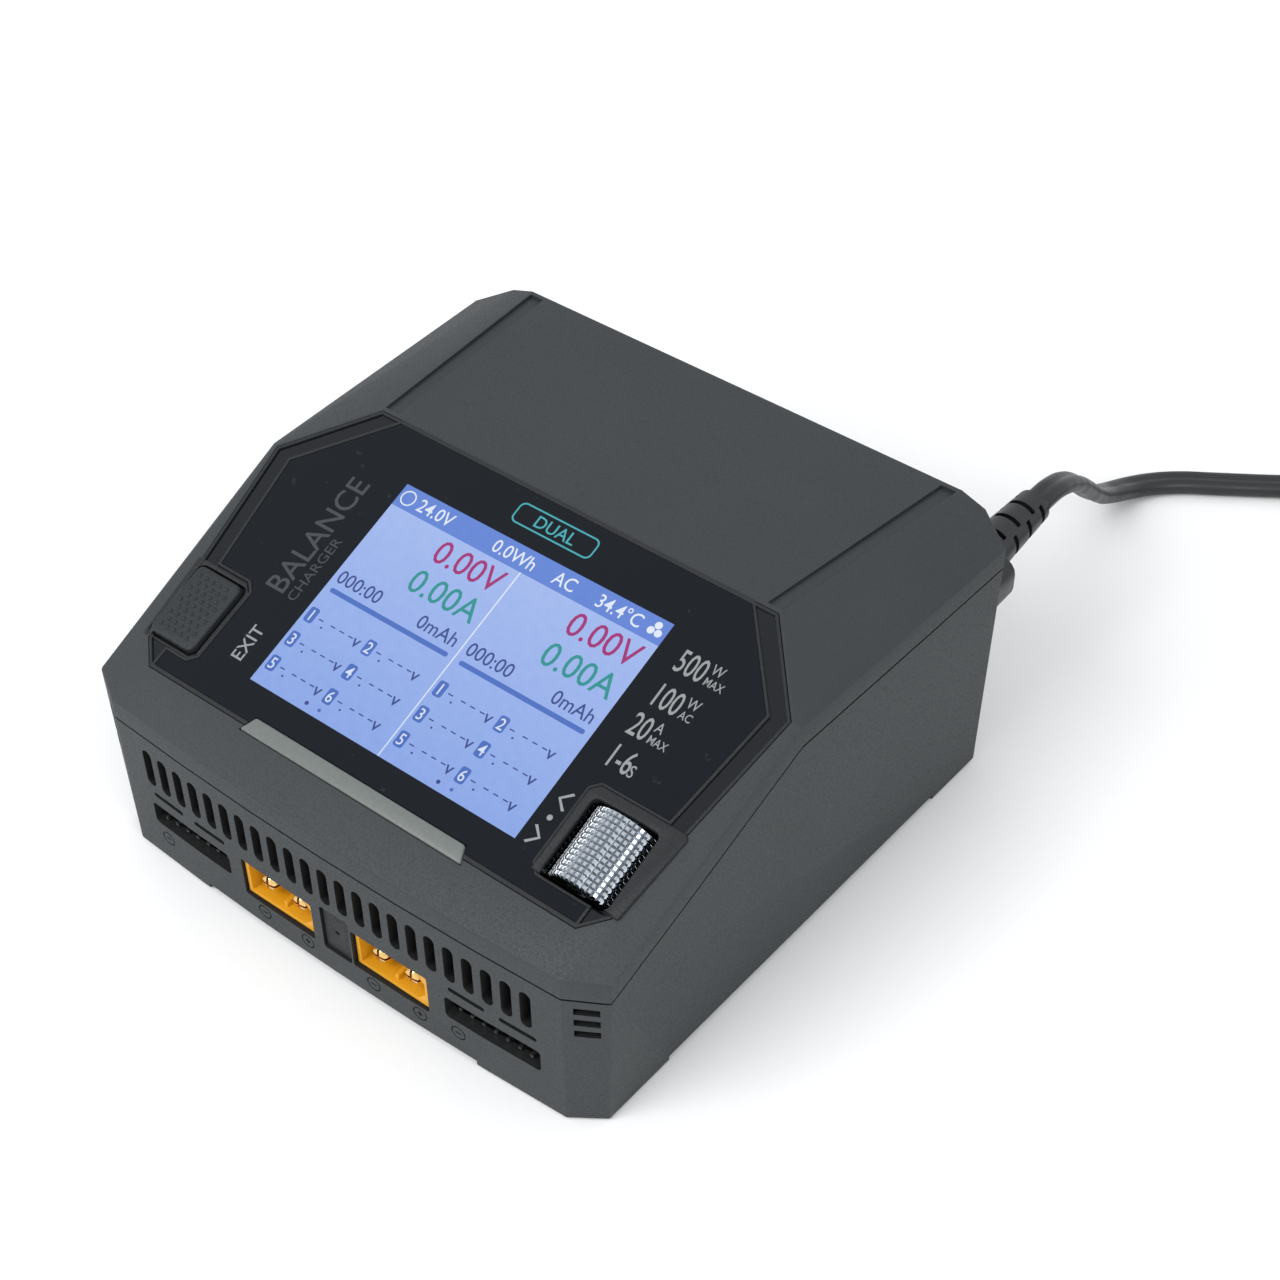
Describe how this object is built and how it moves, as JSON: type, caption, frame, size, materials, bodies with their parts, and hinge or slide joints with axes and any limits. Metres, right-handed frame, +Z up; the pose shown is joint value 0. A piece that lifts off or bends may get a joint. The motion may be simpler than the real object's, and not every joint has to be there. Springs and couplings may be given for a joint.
{
  "type": "balance battery charger",
  "caption": "Wedge-shaped desktop battery charger with a tilted display, scroll wheel, exit key, front charge and balance sockets, and a mains lead.",
  "frame": {"origin": "centre of the case's footprint, on the surface that it stands on; the lead and what is on it aren't counted", "axes": "+X to the right when facing the display, +Y to the rear, +Z up"},
  "size_m": [0.2305, 0.2421, 0.0601],
  "materials": {
    "case_plastic": "dark grey moulded plastic with a fine spark texture",
    "bezel_gloss": "blue-black polished moulding",
    "panel_glass": "polished cover glass, printed black behind",
    "diffuser": "translucent grey light guide",
    "key_rubber": "grey moulded silicone with raised dimples",
    "foot_rubber": "plain black",
    "wheel_chrome": "bright knurled plate",
    "steel": "plain bright",
    "gold_plate": "gold-plated, polished",
    "amber_nylon": "amber moulded nylon",
    "black_nylon": "black moulded nylon",
    "circuit_board": "green solder mask",
    "heatsink_aluminium": "extruded",
    "copper_winding": "varnished copper",
    "capacitor_sleeve": "shrunk sleeve",
    "cord_pvc": "black flexible vinyl"
  },
  "bodies": {
    "charger": {"lower_case": "case_plastic", "upper_cover": "case_plastic", "blanking_plate": "case_plastic", "bezel_frame": "bezel_gloss", "display_glass": "panel_glass", "light_bar": "diffuser", "lcd_module": "steel", "control_board": "circuit_board", "main_board": "circuit_board", "power_supply_board": "circuit_board", "exit_switch": "black_nylon", "select_switch": "black_nylon", "encoder_body": "black_nylon", "mains_inlet": "black_nylon", "fan_frame": "black_nylon", "heatsink": "heatsink_aluminium", "transformer": "copper_winding", "capacitor_front": "capacitor_sleeve", "capacitor_rear": "capacitor_sleeve", "appliance_connector": "cord_pvc", "connector_strain_relief": "cord_pvc", "mains_cord": "cord_pvc", "mains_cord_tail": "cord_pvc", "mains_cord_coil": "cord_pvc", "mains_plug": "cord_pvc", "cable_tie": "black_nylon", "charge_socket_left": "amber_nylon", "balance_socket_left": "black_nylon", "balance_pins_left": "steel", "mains_inlet_pin_left": "steel", "mains_plug_pin_left": "steel", "inductor_left": "copper_winding", "charge_socket_left_pin_left": "gold_plate", "charge_socket_left_pin_right": "gold_plate", "charge_socket_right": "amber_nylon", "balance_socket_right": "black_nylon", "balance_pins_right": "steel", "mains_inlet_pin_right": "steel", "mains_plug_pin_right": "steel", "inductor_right": "copper_winding", "charge_socket_right_pin_left": "gold_plate", "charge_socket_right_pin_right": "gold_plate", "case_screw_front_left": "steel", "foot_pad_front_left": "foot_rubber", "case_screw_front_right": "steel", "foot_pad_front_right": "foot_rubber", "case_screw_rear_left": "steel", "foot_pad_rear_left": "foot_rubber", "case_screw_rear_right": "steel", "foot_pad_rear_right": "foot_rubber"},
    "exit_key": {"exit_button": "key_rubber"},
    "wheel_press": {"wheel_carriage": "black_nylon", "wheel_axle": "steel"},
    "wheel": {"scroll_wheel": "wheel_chrome"},
    "fan": {"fan_rotor": "black_nylon"}
  },
  "joints": [
    {"name": "exit_key_press", "type": "slide", "parent": "charger", "child": "exit_key", "axis": [0, 0.3494, -0.937], "range_m": [0, 0.0008], "stiffness_N_per_m": 800, "springref_m": -0.0005},
    {"name": "wheel_press", "type": "slide", "parent": "charger", "child": "wheel_press", "axis": [0, 0.3494, -0.937], "range_m": [0, 0.0005], "stiffness_N_per_m": 1500, "springref_m": -0.0008},
    {"name": "wheel_turn", "type": "hinge", "parent": "wheel_press", "child": "wheel", "pos_m": [0.0423, -0.0347, 0.03944], "axis": [0, 0.937, 0.3494], "continuous": true},
    {"name": "fan_turn", "type": "hinge", "parent": "charger", "child": "fan", "pos_m": [-0.018, 0.04775, 0.0276], "axis": [0, 1, 0], "continuous": true}
  ]
}
